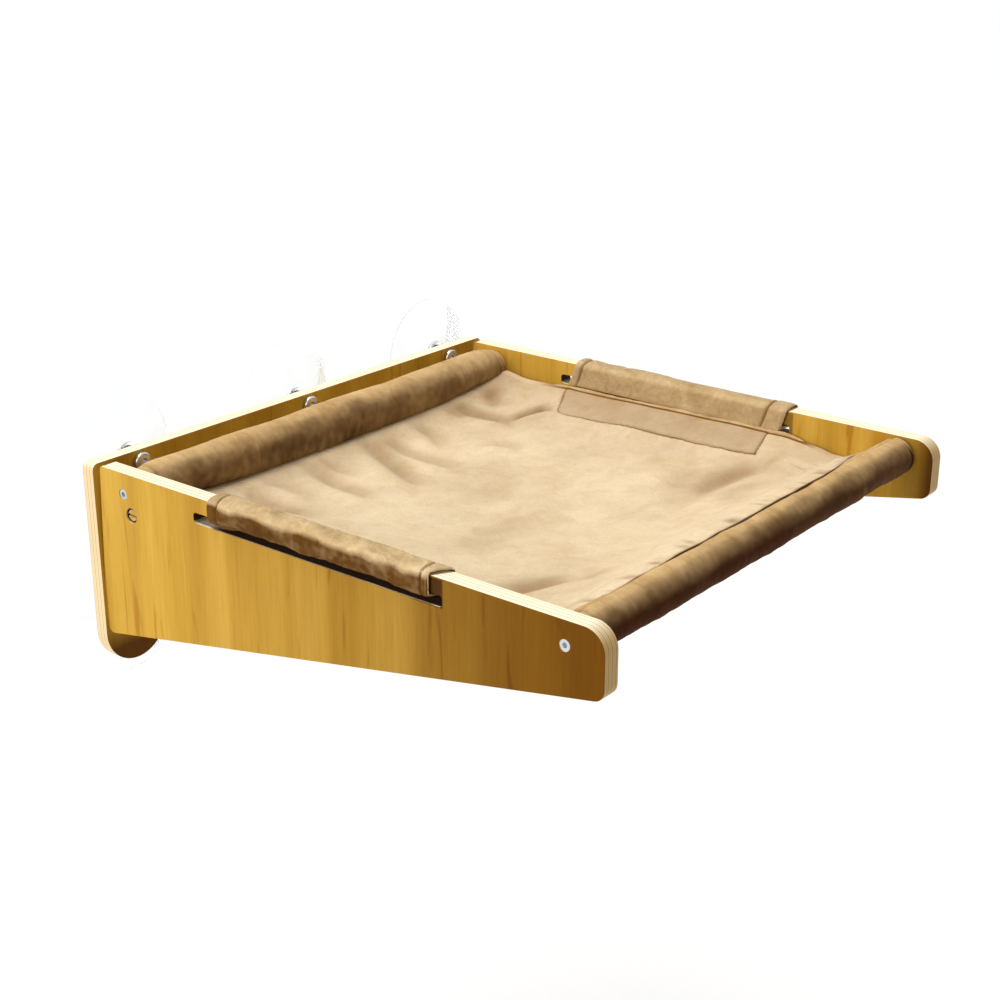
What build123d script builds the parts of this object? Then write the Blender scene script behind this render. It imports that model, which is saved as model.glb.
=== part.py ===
from build123d import *
from math import sqrt
import os

# Window mounted cat perch, in millimetres. +Z is up and +Y points at the window.
# The origin is the centre of the middle upper suction cup's rim, on the glass.

# Window board
board_width = 400.0
board_height = 148.4
board_thickness = 10.0
board_corner_radius = 4.5
foot_radius = 26.0
window_gap = 14.0
cup_axis_drop = 8.25

# Side panels
panel_thickness = 11.9
panel_inset = 2.2
panel_reach = 410.0
panel_back_height = 121.2
panel_front_height = 40.2
panel_heel_height = 34.0
panel_top_gap = 5.0
panel_radius_top_front = 14.0
panel_radius_bottom_front = 8.0
panel_radius_bottom_back = 5.0
panel_radius_top_back = 2.5
rail_height = 10.4
slot_height = 7.2
slot_length = 204.5
slot_setback = 94.3
slot_corner_radius = 2.5

# Round bars and their cloth sleeves
bar_diameter = 22.0
bar_drop = 14.9
back_bar_setback = 26.6
front_bar_setback = 26.4
back_sleeve_radius = 15.0
front_sleeve_radius = 14.5
sleeve_end_gap = 1.4
sleeve_hem_width = 8.0
sleeve_hem_groove = 0.9

# Screws into the ends of the bars
bar_screw_diameter = 4.0
bar_screw_length = 44.0
bar_screw_head_diameter = 7.0
bar_screw_head_height = 4.0
bar_screw_head_depth = 0.3
bar_screw_socket = 3.0
bar_screw_socket_depth = 2.4

# Bolts from the board into barrel nuts in the panels
bolt_diameter = 6.0
bolt_head_diameter = 12.0
bolt_head_height = 3.0
bolt_socket = 4.0
bolt_socket_depth = 1.8
bolt_drop = 28.1
bolt_past_nut = 2.0
barrel_setback = 33.5
barrel_diameter = 10.0
barrel_skin = 1.0
barrel_slot_width = 1.2
barrel_slot_depth = 1.2

# Wooden locating pins between board and panels
pin_diameter = 6.0
pin_height = 28.0
pin_in_board = 6.0
pin_in_panel = 16.0

# Suction cups and the studs moulded into them
cup_inset = 40.0
lower_cup_drop = 2.85
cup_radius = 44.0
cup_lip_width = 1.2
cup_rim_thickness = 1.2
cup_hollow = 5.0
cup_dome_height = 9.0
cup_neck_diameter = 22.0
stud_diameter = 6.0
stud_flange_diameter = 16.0
stud_flange_thickness = 2.0
stud_flange_depth = 8.0
stud_short_of_front = 1.5

# Sleeve nuts on the studs, with a thin washer under each head
nut_head_diameter = 13.5
nut_head_height = 3.2
nut_head_rounding = 1.0
nut_barrel_diameter = 8.4
nut_barrel_length = 7.3
nut_web = 1.0
nut_socket = 5.0
nut_socket_depth = 2.2
washer_thickness = 0.8

# Bed cloth: a padded sheet that sags between the bars
bed_thickness = 3.5
bed_edge_gap = 2.7
bed_edge_drop = 21.3
bed_sag = 14.0
bed_lip_width = 3.0
bed_lip_rise = 2.6
bed_straight_start = 74.0
bed_straight_end = 296.0

# Cloth loops round the rails, and the tapes that close them under the bed
loop_back_gap = 15.2
loop_front_gap = 1.8
loop_cloth = 2.0
loop_top_rise = 8.4
loop_side_rise = 4.4
loop_inner_bulge = 1.5
loop_floor_gap = 0.8
loop_tail_width = 26.0
tape_width = 22.0
tape_thickness = 0.9
tape_end_gap = 4.0

# Clearances
soft_clearance = 0.3
bore_clearance = 0.2
thread_clearance = 0.05
pin_end_clearance = 0.4
overrun = 1.0

# Shares of the sizes that they follow
knee_share = 0.655
knee_rise_share = 0.31
shoulder_share = 0.83
shoulder_rise_share = 0.57
# Each bed station is how far it lies from the straight stretch to the bar,
# and how far the cloth's edge and middle have come to their height there
bed_back_stations_share = [
    (0.0, 0.0, 0.0),
    (0.45, 0.0, 0.19),
    (0.7, 0.17, 0.46),
    (0.88, 0.82, 0.78),
    (1.0, 1.0, 0.97),
]
bed_front_stations_share = [
    (0.0, 0.0, 0.0),
    (0.17, 0.13, 0.03),
    (0.37, -0.08, 0.13),
    (0.54, -0.25, 0.26),
    (0.68, -0.22, 0.42),
    (0.83, 0.2, 0.66),
    (1.0, 1.0, 0.99),
]
seam_back_share = 0.66
# Each loop station is how far along the loop it lies, and its share of the full puff
loop_stations_share = [
    (0.0, 0.3),
    (0.03, 0.55),
    (0.2, 1.0),
    (0.4, 0.92),
    (0.72, 0.56),
    (0.88, 0.4),
    (0.97, 0.5),
    (1.0, 0.3),
]

# Places worked out from the sizes
board_back = -window_gap
board_front = board_back - board_thickness
board_top = cup_axis_drop
board_bottom = board_top - board_height
foot_centre_z = board_bottom + foot_radius
foot_centre_x = board_width / 2 - foot_radius
panel_outer = board_width / 2 - panel_inset
panel_inner = panel_outer - panel_thickness
panel_middle = (panel_outer + panel_inner) / 2
panel_front = board_front - panel_reach
rail_bottom = board_top - rail_height
slot_bottom = rail_bottom - slot_height
slot_back = board_front - slot_setback
slot_front = slot_back - slot_length
bar_z = board_top - bar_drop
back_bar_y = board_front - back_bar_setback
front_bar_y = panel_front + front_bar_setback
bar_radius = bar_diameter / 2
bolt_z = board_top - bolt_drop
barrel_y = board_front - barrel_setback
pin_z = board_top - panel_back_height + pin_height
bed_half_width = panel_inner - bed_edge_gap
bed_edge_z = board_top - bed_edge_drop
bed_middle_z = bed_edge_z - bed_sag
loop_back = slot_back - loop_back_gap
loop_front = slot_front + loop_front_gap
cup_column = board_width / 2 - cup_inset
lower_cup_z = foot_centre_z - lower_cup_drop
cup_places = {
    "upper_left": (-cup_column, 0),
    "upper_middle": (0, 0),
    "upper_right": (cup_column, 0),
    "lower_left": (-cup_column, lower_cup_z),
    "lower_right": (cup_column, lower_cup_z),
}


def rod_along_x(radius, x_from, x_to, y, z):
    rod = Cylinder(radius, x_to - x_from, rotation=(0, 90, 0))
    return Pos((x_from + x_to) / 2, y, z) * rod


def rod_along_y(radius, y_from, y_to, x, z):
    rod = Cylinder(radius, y_to - y_from, rotation=(90, 0, 0))
    return Pos(x, (y_from + y_to) / 2, z) * rod


def block(x_from, x_to, y_from, y_to, z_from, z_to):
    box = Box(x_to - x_from, y_to - y_from, z_to - z_from)
    return Pos((x_from + x_to) / 2, (y_from + y_to) / 2, (z_from + z_to) / 2) * box


def hexagon_along_x(across_flats, x_from, x_to, y, z):
    plane = Plane(origin=(x_from, y, z), x_dir=(0, 1, 0), z_dir=(1, 0, 0))
    outline = plane * RegularPolygon(across_flats / 2, 6, major_radius=False)
    return extrude(outline, x_to - x_from)


def hexagon_along_y(across_flats, y_from, y_to, x, z):
    plane = Plane(origin=(x, y_from, z), x_dir=(1, 0, 0), z_dir=(0, 1, 0))
    outline = plane * RegularPolygon(across_flats / 2, 6, major_radius=False)
    return extrude(outline, y_to - y_from)


def mirrored(solid):
    return mirror(solid, about=Plane.YZ)


# Board: straight top, two round feet and a raised edge between them
def make_window_board():
    half = board_width / 2
    arch_z = foot_centre_z + foot_radius
    inner = foot_centre_x - foot_radius
    arch_x = inner - foot_radius
    left_foot = ThreePointArc(
        (-half, foot_centre_z), (-foot_centre_x, board_bottom), (-inner, foot_centre_z)
    )
    left_rise = RadiusArc((-inner, foot_centre_z), (-arch_x, arch_z), foot_radius)
    right_rise = RadiusArc((arch_x, arch_z), (inner, foot_centre_z), foot_radius)
    right_foot = ThreePointArc(
        (inner, foot_centre_z), (foot_centre_x, board_bottom), (half, foot_centre_z)
    )
    middle = Line((-arch_x, arch_z), (arch_x, arch_z))
    rest = Polyline((half, foot_centre_z), (half, board_top), (-half, board_top), (-half, foot_centre_z))
    outline = make_face(Curve() + [left_foot, left_rise, middle, right_rise, right_foot, rest])
    plane = Plane(origin=(0, board_back, 0), x_dir=(1, 0, 0), z_dir=(0, -1, 0))
    board = extrude(plane * outline, board_thickness)
    top_corners = board.edges().filter_by(Axis.Y).group_by(Axis.Z)[-1]
    board = fillet(top_corners, board_corner_radius)
    nut_hole = nut_barrel_diameter / 2 + soft_clearance
    for x, z in cup_places.values():
        board -= rod_along_y(nut_hole, board_front - overrun, board_back + overrun, x, z)
    bolt_hole = bolt_diameter / 2 + bore_clearance
    pin_hole = pin_diameter / 2 + thread_clearance
    pin_floor = board_front + pin_in_board + pin_end_clearance
    for x in (-panel_middle, panel_middle):
        board -= rod_along_y(bolt_hole, board_front - overrun, board_back + overrun, x, bolt_z)
        board -= rod_along_y(pin_hole, board_front - overrun, pin_floor, x, pin_z)
    return board


# Right side panel: tapered plate whose heel bears on the board
def make_side_panel():
    bottom = board_top - panel_back_height
    corners = [
        (board_front, bottom),
        (board_front, bottom + panel_heel_height),
        (board_front - panel_top_gap, board_top),
        (panel_front, board_top),
        (panel_front, board_top - panel_front_height),
    ]
    radii = [
        panel_radius_bottom_back,
        0,
        panel_radius_top_back,
        panel_radius_top_front,
        panel_radius_bottom_front,
    ]
    plane = Plane(origin=(panel_inner, 0, 0), x_dir=(0, 1, 0), z_dir=(1, 0, 0))
    panel = extrude(plane * make_face(Polyline(*corners, close=True)), panel_thickness)
    for (y, z), radius in zip(corners, radii):
        if radius > 0:
            corner = panel.edges().filter_by(Axis.X).sort_by_distance((panel_middle, y, z))[0]
            panel = fillet(corner, radius)
    return panel - panel_slot() - panel_bores()


def panel_slot():
    slot = block(
        panel_inner - overrun,
        panel_outer + overrun,
        slot_front,
        slot_back,
        slot_bottom,
        rail_bottom,
    )
    return fillet(slot.edges().filter_by(Axis.X), slot_corner_radius)


def panel_bores():
    barrel_hole = barrel_diameter / 2 + bore_clearance
    bolt_hole = bolt_diameter / 2 + bore_clearance
    bolt_floor = bolt_end() - pin_end_clearance
    pin_hole = pin_diameter / 2 + thread_clearance
    pin_floor = board_front - pin_in_panel - pin_end_clearance
    screw_hole = bar_screw_diameter / 2 + bore_clearance
    head_hole = bar_screw_head_diameter / 2 + bore_clearance
    head_floor = panel_outer - bar_screw_head_depth - bar_screw_head_height
    bores = rod_along_x(barrel_hole, panel_inner + barrel_skin, panel_outer + overrun, barrel_y, bolt_z)
    bores += rod_along_y(bolt_hole, bolt_floor, board_front + overrun, panel_middle, bolt_z)
    bores += rod_along_y(pin_hole, pin_floor, board_front + overrun, panel_middle, pin_z)
    for y in (back_bar_y, front_bar_y):
        bores += rod_along_x(screw_hole, panel_inner - overrun, panel_outer, y, bar_z)
        bores += rod_along_x(head_hole, head_floor, panel_outer + overrun, y, bar_z)
    return bores


# Round bar between the panels, with pilot holes for its end screws
def make_bar(y):
    bar = rod_along_x(bar_radius, -panel_inner, panel_inner, y, bar_z)
    tip = bar_screw_tip() - pin_end_clearance
    pilot = rod_along_x(bar_screw_diameter / 2, tip, panel_inner + overrun, y, bar_z)
    return bar - pilot - mirrored(pilot)


def bar_screw_tip():
    return panel_outer - bar_screw_head_depth - bar_screw_length


def make_bar_screw(y):
    head_end = panel_outer - bar_screw_head_depth
    head_start = head_end - bar_screw_head_height
    screw = rod_along_x(bar_screw_head_diameter / 2, head_start, head_end, y, bar_z)
    screw += rod_along_x(bar_screw_diameter / 2, bar_screw_tip(), head_start, y, bar_z)
    socket_floor = head_end - bar_screw_socket_depth
    return screw - hexagon_along_x(bar_screw_socket, socket_floor, head_end + overrun, y, bar_z)


# Cloth sleeve round a bar, with a sewn groove beside the hem at each end
def make_sleeve(y, radius):
    end = panel_inner - sleeve_end_gap
    groove = end - sleeve_hem_width
    sleeve = rod_along_x(radius, -end, end, y, bar_z)
    sleeve = fillet(sleeve.edges(), (radius - bar_radius - soft_clearance) / 2)
    ring = Pos(groove, y, bar_z) * Torus(radius, sleeve_hem_groove, rotation=(0, 90, 0))
    bore = rod_along_x(bar_radius + soft_clearance, -panel_inner, panel_inner, y, bar_z)
    return sleeve - ring - mirrored(ring) - bore


# Bolt through the board and along the panel's middle plane
def bolt_end():
    return barrel_y - barrel_diameter / 2 - bolt_past_nut


def make_panel_bolt():
    head_top = board_back + bolt_head_height
    bolt = rod_along_y(bolt_head_diameter / 2, board_back, head_top, panel_middle, bolt_z)
    bolt += rod_along_y(bolt_diameter / 2, bolt_end(), board_back, panel_middle, bolt_z)
    floor = head_top - bolt_socket_depth
    return bolt - hexagon_along_y(bolt_socket, floor, head_top + overrun, panel_middle, bolt_z)


def make_barrel_nut():
    inner_end = panel_inner + barrel_skin
    outer_end = panel_outer - barrel_skin
    nut = rod_along_x(barrel_diameter / 2, inner_end, outer_end, barrel_y, bolt_z)
    bore = bolt_diameter / 2 + thread_clearance
    nut -= rod_along_y(bore, barrel_y - barrel_diameter, barrel_y + barrel_diameter, panel_middle, bolt_z)
    slot_half = barrel_slot_width / 2
    return nut - block(
        outer_end - barrel_slot_depth,
        outer_end + overrun,
        barrel_y - barrel_diameter,
        barrel_y + barrel_diameter,
        bolt_z - slot_half,
        bolt_z + slot_half,
    )


def make_locating_pin():
    return rod_along_y(
        pin_diameter / 2,
        board_front - pin_in_panel,
        board_front + pin_in_board,
        panel_middle,
        pin_z,
    )


# Suction cup: a dome whose neck bears on the board's back, moulded round the stud's flange
def make_suction_cup(x, z):
    flange_front = -stud_flange_depth
    flange_back = flange_front - stud_flange_thickness
    neck = cup_neck_diameter / 2
    flange = stud_flange_diameter / 2
    shank = stud_diameter / 2
    mouth = cup_radius - cup_lip_width
    outside_middle = ((cup_radius + neck) / 2, -(cup_rim_thickness + cup_dome_height) * 5 / 8)
    inside = ThreePointArc((0, -cup_hollow), (mouth / 2, -cup_hollow * 3 / 4), (mouth, 0))
    outside = ThreePointArc((cup_radius, -cup_rim_thickness), outside_middle, (neck, -cup_dome_height))
    rim = Polyline((mouth, 0), (cup_radius, 0), (cup_radius, -cup_rim_thickness))
    core = Polyline(
        (neck, -cup_dome_height),
        (neck, board_back),
        (shank, board_back),
        (shank, flange_back),
        (flange, flange_back),
        (flange, flange_front),
        (0, flange_front),
        (0, -cup_hollow),
    )
    profile = make_face(Curve() + [inside, rim, outside, core])
    return Pos(x, 0, z) * revolve(profile, Axis.Y)


def make_stud(x, z):
    flange_front = -stud_flange_depth
    flange_back = flange_front - stud_flange_thickness
    stud = rod_along_y(stud_flange_diameter / 2, flange_back, flange_front, x, z)
    return stud + rod_along_y(stud_diameter / 2, board_front + stud_short_of_front, flange_back, x, z)


# Sleeve nut: round head with a hexagon socket, and a threaded barrel in the board's hole
def make_sleeve_nut(x, z):
    head_back = board_front - washer_thickness
    head_front = head_back - nut_head_height
    head = rod_along_y(nut_head_diameter / 2, head_front, head_back, x, z)
    head = fillet(head.edges().sort_by(Axis.Y)[0], nut_head_rounding)
    barrel_end = head_back + nut_barrel_length
    nut = head + rod_along_y(nut_barrel_diameter / 2, head_back, barrel_end, x, z)
    socket_floor = head_front + nut_socket_depth
    nut -= hexagon_along_y(nut_socket, head_front - overrun, socket_floor, x, z)
    bore = stud_diameter / 2 + thread_clearance
    return nut - rod_along_y(bore, socket_floor + nut_web, barrel_end + overrun, x, z)


def make_washer(x, z):
    head_back = board_front - washer_thickness
    washer = rod_along_y(nut_head_diameter / 2, head_back, board_front, x, z)
    hole = nut_barrel_diameter / 2 + soft_clearance
    return washer - rod_along_y(hole, head_back - overrun, board_front + overrun, x, z)


# Bed cloth: cross sections of arcs, sagging in the middle, with a rolled lip at each edge.
# It leaves the back bar's underside and is sewn to the top of the front sleeve.
def bed_line(edge_z, middle_z):
    rise = edge_z - middle_z
    knee = bed_half_width * knee_share
    shoulder = bed_half_width * shoulder_share
    knee_z = middle_z + rise * knee_rise_share
    shoulder_z = middle_z + rise * shoulder_rise_share
    return knee, knee_z, shoulder, shoulder_z


def bed_section(y, edge_z, middle_z):
    knee, knee_z, shoulder, shoulder_z = bed_line(edge_z, middle_z)
    half = bed_half_width
    lip = half - bed_lip_width
    lip_middle = half - bed_lip_width / 2
    lip_top = edge_z + bed_lip_rise
    deep = bed_thickness
    edges = [
        ThreePointArc((-knee, knee_z), (0, middle_z), (knee, knee_z)),
        ThreePointArc((knee, knee_z), (shoulder, shoulder_z), (lip, edge_z)),
        ThreePointArc((lip, edge_z), (lip_middle, lip_top), (half, edge_z)),
        Line((half, edge_z), (half, edge_z - deep)),
        ThreePointArc((half, edge_z - deep), (shoulder, shoulder_z - deep), (knee, knee_z - deep)),
        ThreePointArc((knee, knee_z - deep), (0, middle_z - deep), (-knee, knee_z - deep)),
        ThreePointArc((-knee, knee_z - deep), (-shoulder, shoulder_z - deep), (-half, edge_z - deep)),
        Line((-half, edge_z - deep), (-half, edge_z)),
        ThreePointArc((-half, edge_z), (-lip_middle, lip_top), (-lip, edge_z)),
        ThreePointArc((-lip, edge_z), (-shoulder, shoulder_z), (-knee, knee_z)),
    ]
    plane = Plane(origin=(0, y, 0), x_dir=(1, 0, 0), z_dir=(0, -1, 0))
    return plane * make_face(Curve() + edges)


def bed_end(y_from, y_to, z_to, stations):
    sections = []
    for along, edge_share, middle_share in stations:
        y = y_from + (y_to - y_from) * along
        edge_z = bed_edge_z + (z_to - bed_edge_z) * edge_share
        middle_z = bed_middle_z + (z_to - bed_middle_z) * middle_share
        sections.append(bed_section(y, edge_z, middle_z))
    return loft(sections)


def make_bed_sheet():
    straight_back = board_front - bed_straight_start
    straight_front = board_front - bed_straight_end
    bed = extrude(bed_section(straight_back, bed_edge_z, bed_middle_z), straight_back - straight_front)
    under_back_bar = bar_z - back_sleeve_radius + bed_thickness
    bed += bed_end(straight_back, back_bar_y, under_back_bar, bed_back_stations_share)
    seam_back = front_sleeve_radius * seam_back_share
    seam_rise = sqrt(front_sleeve_radius**2 - seam_back**2) + 2 * soft_clearance
    bed += bed_end(straight_front, front_bar_y + seam_back, bar_z + seam_rise, bed_front_stations_share)
    for y, radius in ((back_bar_y, back_sleeve_radius), (front_bar_y, front_sleeve_radius)):
        bed -= rod_along_x(radius + soft_clearance, -panel_outer, panel_outer, y, bar_z)
    return bed


# Layer of cloth or tape against the underside of the bed, beside its right edge
def under_bed_layer(y_from, y_to, width, depth, thickness):
    knee, knee_z, shoulder, shoulder_z = bed_line(bed_edge_z, bed_middle_z)
    half = bed_half_width
    top = bed_edge_z - bed_thickness - depth
    knee_drop = knee_z - bed_edge_z
    shoulder_drop = shoulder_z - bed_edge_z
    low = top - thickness
    edges = [
        ThreePointArc((knee, top + knee_drop), (shoulder, top + shoulder_drop), (half, top)),
        Line((half, top), (half, low)),
        ThreePointArc((half, low), (shoulder, low + shoulder_drop), (knee, low + knee_drop)),
        Line((knee, low + knee_drop), (knee, top + knee_drop)),
    ]
    plane = Plane(origin=(0, y_to, 0), x_dir=(1, 0, 0), z_dir=(0, -1, 0))
    layer = extrude(plane * make_face(Curve() + edges), y_to - y_from)
    beyond = block(
        0,
        half - width,
        y_from - overrun,
        y_to + overrun,
        bed_middle_z - bed_sag,
        bed_edge_z,
    )
    return layer - beyond


def make_loop_tape():
    return under_bed_layer(
        loop_front + tape_end_gap,
        loop_back - tape_end_gap,
        tape_width,
        0,
        tape_thickness,
    )


def make_hook_tape():
    return under_bed_layer(
        loop_front + tape_end_gap,
        loop_back - tape_end_gap,
        tape_width,
        tape_thickness,
        tape_thickness,
    )


# Cloth loop: a puffy band round the rail, through the slot, with its tail under the bed
def loop_section(y, puff):
    inner = panel_inner - soft_clearance - loop_cloth
    outer = panel_outer + soft_clearance + loop_cloth
    low = slot_bottom + loop_floor_gap
    waist_z = (board_top + rail_bottom) / 2
    crown_x = panel_middle
    crown_z = board_top + loop_cloth + (loop_top_rise - loop_cloth) * puff + soft_clearance
    shoulder_z = board_top
    bulge_out = outer + (loop_side_rise - loop_cloth) * puff
    bulge_in = inner - loop_inner_bulge * puff
    foot_z = low + slot_height / 2
    edges = [
        ThreePointArc((inner, low), (bulge_in, waist_z), (inner, shoulder_z)),
        ThreePointArc((inner, shoulder_z), (crown_x, crown_z), (outer, shoulder_z)),
        ThreePointArc((outer, shoulder_z), (bulge_out, waist_z), (outer, foot_z)),
        ThreePointArc((outer, foot_z), (outer - loop_cloth / 3, low + loop_cloth / 2), (panel_outer, low)),
        Line((panel_outer, low), (inner, low)),
    ]
    plane = Plane(origin=(0, y, 0), x_dir=(1, 0, 0), z_dir=(0, -1, 0))
    return plane * make_face(Curve() + edges)


def make_side_loop():
    sections = []
    for along, puff in loop_stations_share:
        sections.append(loop_section(loop_back + (loop_front - loop_back) * along, puff))
    band = loft(sections)
    tail_depth = 2 * tape_thickness
    tail = under_bed_layer(loop_front, loop_back, loop_tail_width, tail_depth, loop_cloth)
    drop_inner = panel_inner - soft_clearance - loop_cloth
    drop_outer = panel_inner - soft_clearance
    tail_low = bed_edge_z - bed_thickness - tail_depth - loop_cloth
    rail_low = rail_bottom - soft_clearance
    drop = block(drop_inner, drop_outer, loop_front, loop_back, tail_low, rail_low)
    turn = block(bed_half_width, drop_inner, loop_front, loop_back, tail_low, tail_low + loop_cloth)
    rail = block(
        panel_inner - soft_clearance,
        panel_outer + soft_clearance,
        loop_front - overrun,
        loop_back + overrun,
        rail_low,
        board_top + soft_clearance,
    )
    return band + tail + drop + turn - rail


def make_all_parts():
    parts = {"window_board": make_window_board()}
    pairs = {
        "side_panel": make_side_panel(),
        "panel_bolt": make_panel_bolt(),
        "barrel_nut": make_barrel_nut(),
        "locating_pin": make_locating_pin(),
        "back_bar_screw": make_bar_screw(back_bar_y),
        "front_bar_screw": make_bar_screw(front_bar_y),
        "side_loop": make_side_loop(),
        "loop_tape": make_loop_tape(),
        "hook_tape": make_hook_tape(),
    }
    for name, solid in pairs.items():
        parts[name + "_right"] = solid
        parts[name + "_left"] = mirrored(solid)
    parts["back_bar"] = make_bar(back_bar_y)
    parts["front_bar"] = make_bar(front_bar_y)
    parts["back_sleeve"] = make_sleeve(back_bar_y, back_sleeve_radius)
    parts["front_sleeve"] = make_sleeve(front_bar_y, front_sleeve_radius)
    parts["bed_sheet"] = make_bed_sheet()
    for name, (x, z) in cup_places.items():
        parts["suction_cup_" + name] = make_suction_cup(x, z)
        parts["cup_stud_" + name] = make_stud(x, z)
        parts["sleeve_nut_" + name] = make_sleeve_nut(x, z)
        parts["nut_washer_" + name] = make_washer(x, z)
    return parts


os.makedirs("parts", exist_ok=True)
for node, shape in make_all_parts().items():
    export_step(shape, f"parts/{node}.step")
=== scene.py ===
import math

import bpy
import numpy as np
from mathutils import Matrix, Vector, noise


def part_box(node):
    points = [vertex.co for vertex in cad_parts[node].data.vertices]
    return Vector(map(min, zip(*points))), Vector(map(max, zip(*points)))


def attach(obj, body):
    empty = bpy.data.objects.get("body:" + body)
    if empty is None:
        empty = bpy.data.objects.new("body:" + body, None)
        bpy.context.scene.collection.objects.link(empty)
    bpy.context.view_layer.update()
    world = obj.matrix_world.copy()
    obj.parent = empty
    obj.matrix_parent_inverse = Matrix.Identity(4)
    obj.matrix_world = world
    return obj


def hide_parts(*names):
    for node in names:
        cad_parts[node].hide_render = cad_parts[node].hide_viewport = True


# Window mounted cat perch. Metres, +Z up, +Y towards the window; the middle upper cup is at the origin.
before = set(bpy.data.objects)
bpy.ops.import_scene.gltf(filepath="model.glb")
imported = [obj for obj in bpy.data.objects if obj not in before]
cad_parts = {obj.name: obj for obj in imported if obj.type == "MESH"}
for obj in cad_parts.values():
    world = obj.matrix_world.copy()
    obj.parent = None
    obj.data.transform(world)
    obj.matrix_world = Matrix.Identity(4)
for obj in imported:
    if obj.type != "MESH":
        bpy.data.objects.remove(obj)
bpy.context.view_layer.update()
bpy.ops.object.select_all(action="DESELECT")
mm = 0.001

# Camera, fitted to the wooden edges in the photo
cameraSettings = {
    "place": (-0.856967, -0.891914, 0.388879),
    "azimuth": -51.306,
    "elevation": 20.980,
    "roll": 0.084,
    "lens": 61.776,
    "sensor": 36,
}


def addCamera(own):
    bpy.ops.object.camera_add()
    camera = bpy.context.object
    turn = Matrix.Rotation(math.radians(own["azimuth"]), 4, "Z")
    turn = turn @ Matrix.Rotation(math.radians(90 - own["elevation"]), 4, "X")
    turn = turn @ Matrix.Rotation(math.radians(own["roll"]), 4, "Z")
    camera.matrix_world = Matrix.Translation(own["place"]) @ turn
    camera.data.lens = own["lens"]
    camera.data.sensor_width = own["sensor"]
    bpy.context.scene.camera = camera


addCamera(cameraSettings)
print("camera placed")


# Node helpers
def tint(text):
    # a hex colour as linear light
    parts = [int(text[k:k + 2], 16) / 255 for k in (0, 2, 4)]
    return tuple(c / 12.92 if c < 0.04045 else ((c + 0.055) / 1.055) ** 2.4 for c in parts) + (1,)


def addNode(tree, kind, inputs=None, **settings):
    node = tree.nodes.new("ShaderNode" + kind)
    for key, value in settings.items():
        setattr(node, key, value)
    for key, value in (inputs or {}).items():
        if isinstance(value, bpy.types.NodeSocket):
            tree.links.new(value, node.inputs[key])
        else:
            node.inputs[key].default_value = value
    return node


def calc(tree, operation, first, second=0.0, third=0.0, clamp=False):
    inputs = {0: first, 1: second, 2: third}
    return addNode(tree, "Math", inputs, operation=operation, use_clamp=clamp).outputs[0]


def ramp(tree, value, stops):
    # a stop's shade is a hex colour, a grey level or a linear colour
    node = addNode(tree, "ValToRGB", {"Fac": value})
    line = node.color_ramp
    while len(line.elements) < len(stops):
        line.elements.new(0.5)
    for element, (place, shade) in zip(line.elements, stops):
        element.position = place
        if isinstance(shade, str):
            shade = tint(shade)
        elif isinstance(shade, float):
            shade = (shade, shade, shade, 1)
        element.color = shade
    return node.outputs["Color"]


def blend(tree, share, first, second, mode="MIX"):
    inputs = {0: share, 6: first, 7: second}
    return addNode(tree, "Mix", inputs, data_type="RGBA", blend_type=mode).outputs[2]


def stained(tree, share, shade, colour):
    # the shade multiplied by a colour, by as much as the share says
    return blend(tree, share, shade, blend(tree, 1.0, shade, tint(colour), "MULTIPLY"))


def threeTones(tree, look, close, spread, wide, wideShare):
    # three shades by a close noise, with a wide noise over them
    deep, mid, light = look["shades"]
    shade = ramp(tree, close, [(0.5 - spread, deep), (0.5, mid), (0.5 + spread, light)])
    return blend(tree, wideShare, shade, ramp(tree, wide, [(0.35, mid), (0.65, light)]))


def ownPlace(tree):
    return addNode(tree, "TexCoord").outputs["Object"]


def newMaterial(name, **constants):
    material = bpy.data.materials.new(name)
    material.use_nodes = True
    shader = material.node_tree.nodes["Principled BSDF"]
    for key, value in constants.items():
        shader.inputs[key.replace("_", " ")].default_value = value
    return material, material.node_tree, shader


even = (1, 1, 1)


def noiseAt(tree, place, stretch, scale, detail=2.0, distortion=0.0, roughness=0.5):
    moved = addNode(tree, "Mapping", {"Vector": place, "Scale": stretch}).outputs[0]
    inputs = {"Vector": moved, "Scale": scale, "Detail": detail, "Roughness": roughness}
    return addNode(tree, "TexNoise", dict(inputs, Distortion=distortion)).outputs[0]


def ramped(tree, value, start, end, top=1.0):
    inputs = {"Value": value, "From Min": start, "From Max": end, "To Max": top}
    return addNode(tree, "MapRange", inputs).outputs[0]


def wire(tree, shader, shade, height, depth, strength, rough=None):
    # colour, bump and, where it varies, roughness
    tree.links.new(shade, shader.inputs["Base Color"])
    if rough is not None:
        tree.links.new(rough, shader.inputs["Roughness"])
    bump = addNode(tree, "Bump", {"Height": height, "Distance": depth, "Strength": strength})
    tree.links.new(bump.outputs[0], shader.inputs["Normal"])


# Stage
stageSettings = {
    "floorSize": 14, "floorPlace": (0, -0.2, -0.62), "floorShade": "F4F2EE", "glow": 0.82,
    "daylight": 0.27, "daylightShade": (1.0, 0.985, 0.96, 1), "lampDistance": 3,
}


def backgroundRays(tree):
    path = addNode(tree, "LightPath")
    seen = calc(tree, "MAXIMUM", path.outputs["Is Camera Ray"], path.outputs["Is Glossy Ray"])
    return calc(tree, "MAXIMUM", seen, path.outputs["Is Transmission Ray"])


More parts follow.
